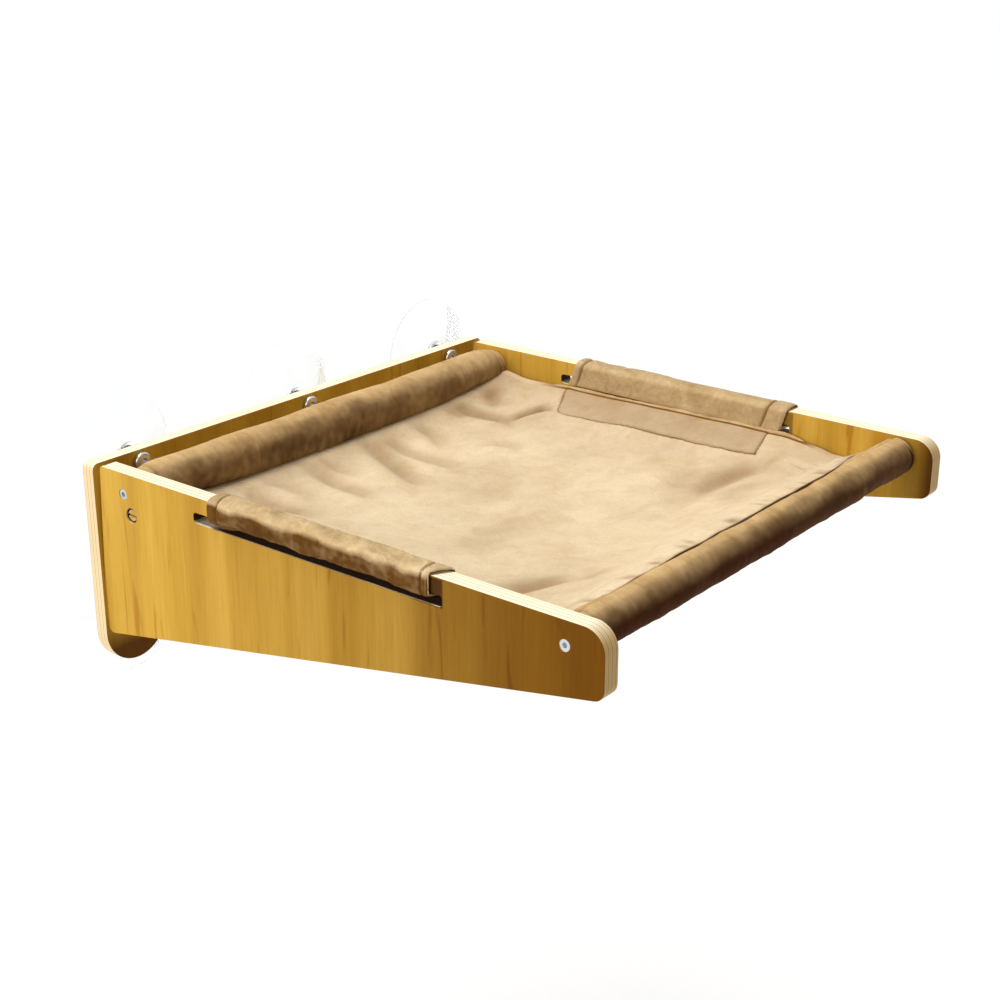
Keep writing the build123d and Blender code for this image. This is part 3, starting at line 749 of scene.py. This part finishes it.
def makeBed(own):
    half = spaced([(0, 3.0), (143, 1.0), (158, 3.0), (170, 1.0), (bedHalf / mm, 1)]) * mm
    columns = np.concatenate((-half[:0:-1], half))
    seamY = frontBar.y + own["seamBack"]
    stops = [(backBar.y / mm + own["tuck"] / mm, 1.2), (-66, 2.5), (-127, 1.0), (-146, 3.0),
             (-304, 1.0), (-319, 2.4), (-372, 1.0), (seamY / mm, 1)]
    rows = spaced(stops) * mm
    frontRows = own["frontRows"]

    def place(i, j):
        # the front rows are stretched to end where the cloth meets the roll
        x, y = columns[i], rows[j]
        turn = np.radians(smoothLine(own["seamTurn"], x))
        lastY = frontBar.y + frontRadius * np.cos(turn) + seamWander(x)
        stretched = frontRows + (y - frontRows) * (lastY - frontRows) / (seamY - frontRows)
        y = np.where(y < frontRows, stretched, y)
        return np.stack((x, y, bedShape(x, y)), axis=1), rows[j] - seamY

    bed = gridPiece("bedCloth", len(columns) - 1, len(rows) - 1, place)
    start = coordinatesOf(bed)
    x, y = start[:, 0], start[:, 1]
    seamGap = np.zeros(len(x))
    bed.data.attributes["crease"].data.foreach_get("value", seamGap)
    side = rising(np.abs(x), *own["heldSide"])
    back = rising(y, *own["heldBack"])
    front = rising(-y, *own["heldFront"])
    settle(bed, np.maximum.reduce((side, back, front)), own["settle"])
    points = coordinatesOf(bed)

    # creases, puckers and sewn lines over the settled cloth
    free = 1 - np.maximum.reduce((side * 0.6, back, front * 0.5))
    crease, paintedShade = creaseField(x, y, own["creases"])
    soft, small, fan, pucker, ticks, clouds = (
        ripple(x * across, y * along, seed) * size for across, along, seed, size in own["waves"].values())
    fan = fan * bell(y + 0.072, 0.034) * mm
    points[:, 2] += free * (crease + (soft * mm + small * mm) + fan)
    pucker = pucker * mm * bell(seamGap, 0.014) * rising(seamGap, 0, 0.002)
    ticks = unit(ticks - 0.9) * bell(seamGap - 0.004, 0.0045)
    groove = own["seamDepth"] * bell(seamGap, 0.0016)
    points[:, 2] += pucker - groove - ticks * 0.5 * mm
    line, patch = sewnPatch(x, y, own["patch"])
    lip = rising(np.abs(x) - bedHalf, *own["lip"]) * smoothLine(own["lipShown"], y)
    sunk = -own["patchDepth"] * line
    points[:, 2] += sunk + own["patchPuff"] * patch - own["lipDepth"] * lip
    bed.data.vertices.foreach_set("co", points.ravel())

    # dark sewn lines and seam, painted shade in the creases, puckers and below the lip, then painted shade near
    # the back roll, towards the far side and on the far patch, and soft darker clouds
    tones = own["tones"]
    dark = line * tones["line"] + paintedShade * tones["crease"] * free
    dark += bell(seamGap, sewnWidth) * seamTone(x) + ticks * tones["ticks"]
    dark += lip * tones["lip"] + patch * (x > 0) * tones["patch"] + bell(y + 0.064, 0.022) * tones["back"]
    dark += rising(x, 0.06, 0.11) * tones["far"] + unit(clouds) * tones["clouds"]
    writeCrease(bed, dark)
    thin = np.clip((y - seamY) / 0.012, 0.12, 1) * np.clip((backBar.y + 0.006 - y) / 0.010, 0.3, 1)
    addGroup(bed, "thick", thin)
    applyModifier(bed, "SOLIDIFY", thickness=own["thickness"], offset=-1, vertex_group="thick",
                  use_quality_normals=True)
    bed.vertex_groups.clear()
    bpy.ops.object.shade_smooth()
    return bed


# Hems: rolled edges along both sides of the bed, whose rise is above the bed's top, in mm by place
hemSettings = {
    "outer": {"radius": 1.75 * mm, "inset": 0.8 * mm, "seed": 2.5,
              "rise": [(-400, -1.5), (-352, -0.9), (-328, 2.4), (-125, 2.6), (-108, 0.8), (-92, -1.2),
                       (-55, -1.6)]},
    "inner": {"radius": 0.8 * mm, "inset": 4.9 * mm, "seed": 7.5,
              "rise": [(-400, -1.8), (-358, -0.6), (-345, 0.5), (-318, 0.3), (-305, -3.0), (-152, -3.0),
                       (-138, 0.3), (-112, 0.5), (-55, -0.3)]},
}


def makeHem(name, side, own):
    seed = own["seed"] + side
    seamY = frontBar.y + bedSettings["seamBack"]
    places = spaced([(-56, 1.5), (seamY / mm + 1.5, 1)]) * mm
    around = 12

    def place(i, j):
        y = places[j]
        angle = i / around * 2 * np.pi
        x = np.full(len(y), bedHalf - own["inset"])
        rise = smoothLine(np.array(own["rise"]) * mm, y)
        z = bedShape(x, y) + rise + ripple(y * 55, x * 0, seed) * 0.3 * mm
        x = x + ripple(y * 32, x * 0, seed + 4) * 0.4 * mm
        size = own["radius"] * (1 + 0.18 * ripple(y * 120, x * 0, seed + 9))
        ends = np.minimum(j, len(places) - 1 - j)
        size = size * np.sqrt(np.clip(ends / 3.0, 0.02, 1))
        points = np.stack((side * (x + np.cos(angle) * size * 1.15), y, z + np.sin(angle) * size), axis=1)
        # painted shade: the hem's underside is darker
        return points, 0.14 + 0.86 * unit(0.1 - np.sin(angle))

    hem = gridPiece(name, around, len(places) - 1, place, closed=True)
    editMesh((bpy.ops.mesh.fill_holes, {"sides": 0}), faceOutward)
    return hem


def makeBedPieces():
    bed = makeBed(bedSettings)
    dress(bed, plush("bedPlush", bedLook))
    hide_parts("bed_sheet")
    hemPlush = plush("hemPlush", loopLook)
    for name, side in sides:
        for edge, hemOwn in hemSettings.items():
            hem = makeHem(edge + "Hem" + name, side, hemOwn)
            dress(hem, hemPlush)
    print("bed cloth made")


makeBedPieces()


# Rolls: cloth sleeves round both bars. Angles are in degrees, from the window side over the top
# farLight is painted light towards a roll's far end, and shade scales the roll's painted shade
rollSettings = {
    "back": {
        "name": "backRoll", "node": "back_sleeve", "bar": "back_bar", "axis": backBar, "radius": backRadius,
        "seed": 4.2, "wrinkle": 0.75, "ridge": 0.8, "fine": 0.25, "shade": 0.79, "seam": None,
        "hemAt": 8.0, "hemDepth": 0.3, "hang": (-126, 4.2, 34), "hangTo": (0.095, 0.150), "taper": 3.2,
        "farLight": 0.4, "sway": 14, "fleck": 1.7,
        "paintedShade": [(0, 0), (52, 0.02), (77, 0.46), (104, 0.88), (230, 1), (300, 0), (360, 0)],
    },
    "front": {
        "name": "frontRoll", "node": "front_sleeve", "bar": "front_bar", "axis": frontBar,
        "radius": frontRadius, "seed": 9.7, "wrinkle": 0.6, "ridge": 0.35, "fine": 0.18, "shade": 1.0,
        "seam": 78, "hemAt": 3.4, "hemDepth": 0.5, "hang": (-128, -2.0, 42), "hangTo": None, "taper": 0.3,
        "farLight": 0.08, "sway": 6, "fleck": 1.0,
        "paintedShade": [(0, 0), (48, 0.03), (62, 0.42), (84, 0.82), (104, 1.06), (130, 1.2), (230, 1.2), (300, 0),
                 (360, 0)],
    },
}
rollWaves = {
    # scale along the bar, scale round it and what is added to the seed
    "folds": (24, 0.45, 0), "lines": (34, 0.22, 3), "shown": (15, 0.9, 21),
    "small": (160, 1.2, 6), "mottle": (30, 1.2, 11), "speck": (210, 3.0, 13),
}
rollShape = {
    "upperOutline": 58.5, "bore": 0.45 * mm, "ridgeSharp": 7, "taperReach": 0.016, "calmStart": 0.003,
    "calmReach": 0.014, "rimReach": 0.0016, "rimSize": 1.4, "mottle": 0.28, "speck": 0.24,
    "seamDepth": 0.7 * mm, "seamWidth": 0.0015, "pucker": 0.4, "puckerReach": 0.008, "lap": 0.6 * mm,
}


def makeRoll(own):
    shape = rollShape
    around = 96
    end = sleeveEnd / mm
    half = spaced([(0, 1.9), (end - 12, 0.8), (end - 1.2, 0.6), (end, 1)])
    outer = np.concatenate((-half[:0:-1], half)) * mm
    inner = spaced([(end, 60), (-end, 1)])[1:-1] * mm
    bore = barRadius + shape["bore"]
    profile = ringProfile(outer, inner, 0.55)
    axis, full, seed = own["axis"], own["radius"], own["seed"]

    def place(i, j):
        x, depth = profile[j, 0], profile[j, 1]
        angle = i / around * 2 * np.pi
        ca, sa = np.cos(angle), np.sin(angle)
        degrees = np.degrees(angle)
        folds, lines, shown, small, mottle, speck = (
            ripple(x * along, ca * turn, seed + more, sa * turn) for along, turn, more in rollWaves.values())
        ridge = unit(1 - np.abs(lines) * shape["ridgeSharp"]) ** 1.5 * unit(shown * 2.4 + 0.5)
        # painted shade stops count from the upper outline, so that the lower one is at 180
        forward = smoothLine(own["paintedShade"], (degrees - shape["upperOutline"]) % 360 + mottle * own["sway"])
        sharp = (ridge - 0.15) * own["ridge"] * (0.2 + forward)
        swell = (folds * own["wrinkle"] + sharp) * mm
        swell = swell + small * own["fine"] * mm * (0.4 + forward)
        fromEnd = end * mm - np.abs(x)
        # loose cloth below the bar: its angle, its size in mm and how far round it spreads
        at, size, spread = own["hang"]
        share = 1.0
        if own["hangTo"]:
            low, high = own["hangTo"]
            share = unit((high - np.abs(x)) / (high - low))
        hang = size * mm * share * bell(turnedFrom(degrees, at), spread)
        narrow = own["taper"] * mm * unit(1 - fromEnd / shape["taperReach"]) ** 1.5 * unit(sa + 0.6)
        hem = bell(fromEnd - own["hemAt"] * mm, sewnWidth)
        calm = np.clip((fromEnd - shape["calmStart"]) / shape["calmReach"], 0.2, 1)
        swell = swell * calm - hem * own["hemDepth"] * mm
        swell = swell + hang - narrow
        # painted shade on the roll's front and underside, mottled, with painted highlight along ridges, painted
        # light towards the far end, and a dark sewn hem
        base = unit(0.92 * forward)
        fleck = own["fleck"] * (shape["mottle"] * mottle + shape["speck"] * speck) * forward
        fleck = fleck * (1.04 - base * own["shade"])
        dark = unit(base + fleck - 0.5 * own["ridge"] * ridge * forward)
        dark = dark * own["shade"] * (1 - own["farLight"] * rising(x, 0, 0.18)) + 0.3 * hem
        if own["seam"] is not None:
            seam = own["seam"] - np.degrees(seamWander(x) / full)
            aside = turnedFrom(degrees, seam) / 180 * np.pi * full
            swell = swell - shape["seamDepth"] * bell(aside, shape["seamWidth"])
            pucker = ripple(x * 120, x * 0, seed + 8) * shape["pucker"] * mm
            swell = swell + pucker * bell(aside, shape["puckerReach"]) * (np.abs(aside) > 0.001)
            dark = dark + seamTone(x) * bell(aside, 0.0011)
            swell = np.where((aside < 0) & (degrees > 10) & (degrees < 170), swell - shape["lap"], swell)
        outside = full + swell - roundedRim(fromEnd, shape["rimReach"], shape["rimSize"])
        radius = np.where(depth > 0.9, bore, outside * (1 - depth) + bore * depth)
        out = np.where(isTurn(depth), np.sign(x) * 0.5 * mm, 0)
        points = np.stack((x + out, axis.y + ca * radius, axis.z + sa * radius), axis=1)
        return points, dark * (depth < 0.5)

    roll = gridPiece(own["name"], around, len(profile) - 1, place, closed=True)
    dress(roll, plush(own["name"] + "Plush", rollLook))
    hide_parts(own["node"])


for settings in rollSettings.values():
    makeRoll(settings)
print("rolls made")


# Side loops: puffy bands round the rails, with tails and tapes under the bed
loopSettings = {
    "back": -0.1335, "front": -0.321,
    "outline": [
        # in mm: place outward from the panel's inner face and height from its top, then what puffing adds
        ((-2.3, -16.8), (0.0, 0.0)), ((-2.3, -11.0), (-0.4, 0.0)), ((-2.3, -5.2), (-0.9, 0.0)),
        ((-2.2, -0.4), (-0.5, 0.4)), ((0.4, 2.1), (-0.1, 1.4)), ((5.9, 2.7), (0.0, 2.0)),
        ((11.3, 2.2), (0.3, 1.6)), ((13.9, -0.4), (0.9, 0.5)), ((14.4, -5.2), (1.3, 0.0)),
        ((14.1, -9.8), (1.0, -0.7)), ((12.4, -12.6), (0.4, -1.4)), ((8.2, -13.2), (0.0, -0.5)),
        ((3.0, -13.9), (0.0, 0.0)),
    ],
    "rail": [(-0.35, -10.6), (-0.35, -5), (-0.35, 0.35), (2.5, 0.4), (9.5, 0.4), (12.25, 0.35), (12.25, -5),
             (12.25, -10.6), (9.5, -10.75), (2.5, -10.75)],
    "railMiddle": (5.95, -5.0),
    "Left": {
        "backHem": 10.0 * mm, "frontHem": 12.0 * mm, "folds": 0.75, "skew": 3.0 * mm, "seed": 2.7,
        "shade": 1.0, "nip": 7.0 * mm, "paintedShade": 0.0, "cap": 1.0 * mm,
        "puff": [(0, 0.1), (0.03, 0.5), (0.07, 1.1), (0.16, 0.7), (0.3, 0.5), (0.72, 0.4), (0.9, 0.3),
                 (1, 0.4)],
    },
    "Right": {
        "backHem": 7.5 * mm, "frontHem": 15.0 * mm, "folds": 0.3, "skew": 6.0 * mm, "seed": 12.9,
        "shade": 0.0, "nip": 0.0, "paintedShade": 0.09, "cap": 0.5 * mm,
        "puff": [(0, 0.2), (0.05, 0.15), (0.5, 0.1), (0.9, 0.15), (0.97, 0.3), (1, 0.3)],
    },
    "tailWidth": 26.0 * mm, "tapeWidth": 22.0 * mm, "tape": 0.9 * mm, "cloth": 2.0 * mm,
    "loopFlat": 0.068, "tailFlat": 0.044,
    "settle": {"frames": 16, "gravity": 0.0, "rules": {
        "tension_stiffness": 10, "compression_stiffness": 10, "bending_stiffness": 0.5, "shrink_min": -0.04,
        "use_pressure": True, "uniform_pressure_force": 1.5,
    }},
}
loopWaves = {
    # scale along the loop, upward and outward, and what is added to the seed
    "folds": (44, 0.05, 0.06, 0), "small": (150, 0.16, 0.16, 5),
    "mottle": (85, 0.13, 0.1, 9), "speck": (300, 0.3, 0.3, 15),
}


def closedCurve(points, count):
    points = np.asarray(points, float)
    t = np.arange(count) / count * len(points)
    k = t.astype(int)
    f = (t - k)[:, None]
    p0, p1, p2, p3 = (points[(k + s) % len(points)] for s in (-1, 0, 1, 2))
    square = (2 * p0 - 5 * p1 + 4 * p2 - p3) * f**2
    cube = (3 * p1 - 3 * p2 + p3 - p0) * f**3
    return 0.5 * (2 * p1 + (p2 - p0) * f + square + cube)


def makeLoop(name, side):
    settings = loopSettings
    own = settings[name]
    seed = own["seed"]
    around = 96
    base = closedCurve([p[0] for p in settings["outline"]], around) * mm
    puffed = closedCurve([p[1] for p in settings["outline"]], around) * mm
    rail = closedCurve(settings["rail"], around) * mm
    centre = np.array(settings["railMiddle"]) * mm
    back, front = settings["back"], settings["front"]
    outer = spaced([(back / mm, 0.8), (back / mm - 14, 1.5), (front / mm + 20, 0.8), (front / mm, 1)]) * mm
    profile = ringProfile(outer, np.linspace(outer[-1], outer[0], 12), 0.5)

    def place(i, j):
        i = i % around
        y, depth = profile[j, 0], profile[j, 1]
        along = (back - y) / (back - front)
        puff = smoothLine(own["puff"], along)
        fromBack, fromFront = back - y, y - front
        outside = base[i] + puffed[i] * puff[:, None]
        away = outside - centre
        away /= np.linalg.norm(away, axis=1)[:, None]
        wide, high = outside[:, 0] / mm, outside[:, 1] / mm
        folds, small, mottle, speck = (
            ripple(y * run, high * up, seed + more, wide * aside) for run, up, aside, more in loopWaves.values())
        folds = folds * own["folds"]
        small = small * 0.5 * own["folds"]
        shown = unit((high + 17.5) / 4) * np.clip(1.2 - np.abs(2 * along - 1) ** 8, 0.2, 1)
        lowSide = np.clip(0.3 - high * 0.05, 0.25, 1)
        swell = (folds + small * lowSide) * mm * shown * (0.5 + 0.5 * puff)
        hems = bell(fromBack - own["backHem"], sewnWidth) + bell(fromFront - own["frontHem"], sewnWidth)
        swell = swell - 1.0 * mm * hems * (high > -15.5)
        swell = swell + 0.5 * mm * bell(fromBack - 0.004, 0.004)
        swell = swell - roundedRim(np.minimum(fromBack, fromFront), 0.0018, 1.1)
        outside = outside + away * swell[:, None]
        flare = 1.5 * mm * rising(along, 0.94, 0.06)
        bare = rail[i] + away * flare[:, None]
        deep = depth[:, None]
        section = np.where(deep > 0.9, bare, outside * (1 - deep) + bare * deep)
        inward = unit((centre[0] - section[:, 0]) / (8 * mm))
        skew = own["skew"] * inward * unit((2 - section[:, 1] / mm) / 18)
        out = np.where(isTurn(depth), np.where(along > 0.5, -0.5, 0.5) * mm, 0)
        outerShare = unit(section[:, 0] / (12 * mm))
        skew = skew + own["nip"] * outerShare * unit(1 - fromFront / own["frontHem"])
        x = side * (panelLow.x + section[:, 0])
        z = panelHigh.z + section[:, 1]
        # painted shade: the lower outer side and the back hem band are darker, the part in the slot is painted
        # dark, sunk folds are darker, and the far loop gets an even painted shade
        below = unit((-high + 0.9 + mottle * 1.1) / 3.4) * rising(outside[:, 0] / mm, 9, 3)
        below = below * own["shade"] * unit(0.94 + 0.1 * speck + 0.1 * mottle)
        below = below + 0.3 * own["shade"] * (fromBack < own["backHem"])
        inSlot = rising(-high, 11.4, 1.2) * (outside[:, 0] > 4 * mm)
        sunk = unit(-swell / mm - 0.25) * 0.35
        dark = 0.45 * hems + sunk + np.maximum(below, inSlot) + own["paintedShade"]
        return np.stack((x, y + out + skew, z), axis=1), dark * (depth < 0.5)

    loop = gridPiece("sideLoop" + name, around, len(profile) - 1, place, closed=True)
    points = coordinatesOf(loop)
    outward = side * points[:, 0] - panelLow.x
    up = points[:, 2] - panelHigh.z
    onRail = (outward > -0.9 * mm) & (outward < 12.8 * mm) & (up > -11.3 * mm) & (up < 0.9 * mm)
    fromEnd = np.minimum(back - points[:, 1], points[:, 1] - front)
    pins = np.maximum(unit((0.012 - fromEnd) / 0.006), unit((0.001 - outward) / 0.002))
    settle(loop, np.maximum(pins, onRail), dict(settings["settle"], cap=own["cap"]))
    return loop


def stripPiece(name, side, path, back, front, thickness, seed, roughen=0.0):
    # path gives X places and heights for the right side, following the bed's underside
    places = spaced([(back / mm, 3.0), (front / mm, 1)]) * mm

    def place(i, j):
        y = places[j]
        points = np.array([path(y[k])[i[k]] for k in range(len(y))])
        z = points[:, 1] + roughen * ripple(y * 60, points[:, 0] * 60, seed)
        return np.stack((side * points[:, 0], y, z), axis=1), points[:, 1] > panelHigh.z - 22 * mm

    strip = gridPiece(name, len(path(back)) - 1, len(places) - 1, place)
    if side < 0:
        editMesh((bpy.ops.mesh.flip_normals, {}))
    applyModifier(strip, "SOLIDIFY", thickness=thickness, offset=0)
    return strip


def underBed(y, depth, width, count):
    # points along the bed's underside, up to its edge
    xs = np.linspace(bedHalf - width, bedHalf - 0.3 * mm, count)
    zs = bedShape(xs, np.full(count, y)) - bedSettings["thickness"] - depth
    return list(zip(xs, zs))


def makeLoopPieces():
    settings = loopSettings
    tape, cloth = settings["tape"], settings["cloth"]
    loopTape = hookTape("loopSideTape", ("B9935F", "D2AF7C"))
    hookSide = hookTape("hookSideTape", ("6B5233", "9C7C50"))
    clothFinish = plush("loopPlush", loopLook)
    back, front = settings["back"], settings["front"]
    for name, side in sides:
        loop = makeLoop(name, side)
        seed = settings[name]["seed"]

        def tailPath(y):
            flat = underBed(y, 2 * tape + cloth / 2 + 0.2 * mm, settings["tailWidth"], 12)
            low = flat[-1][1]
            corner = panelLow.x - 1.35 * mm
            turn = [(bedHalf + 0.7 * mm, low + 0.3 * mm), (corner, low + 1.6 * mm), (corner, low + 4 * mm)]
            rise = [(corner, z) for z in np.linspace(low + 7 * mm, panelHigh.z - 15 * mm, 4)]
            return flat + turn + rise

        ends = (back - 0.8 * mm, front + 0.8 * mm)
        tail = stripPiece("loopTail" + name, side, tailPath, *ends, cloth, seed, 0.2 * mm)
        for label, node, layer, finish in (("loopTape", "loop_tape_", 0.5, loopTape),
                                           ("hookTape", "hook_tape_", 1.5, hookSide)):

            def tapePath(y, depth=tape * layer + 0.05 * mm):
                return underBed(y, depth, settings["tapeWidth"], 10)

            strip = stripPiece(label + name, side, tapePath, back - 4 * mm, front + 4 * mm, tape * 0.92, seed)
            dress(strip, finish)
            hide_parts(node + name.lower())
        dress(loop, clothFinish)
        dress(tail, clothFinish)
        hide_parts("side_loop_" + name.lower())
    print("side loops, tails and tapes made")


makeLoopPieces()

print("scene complete")
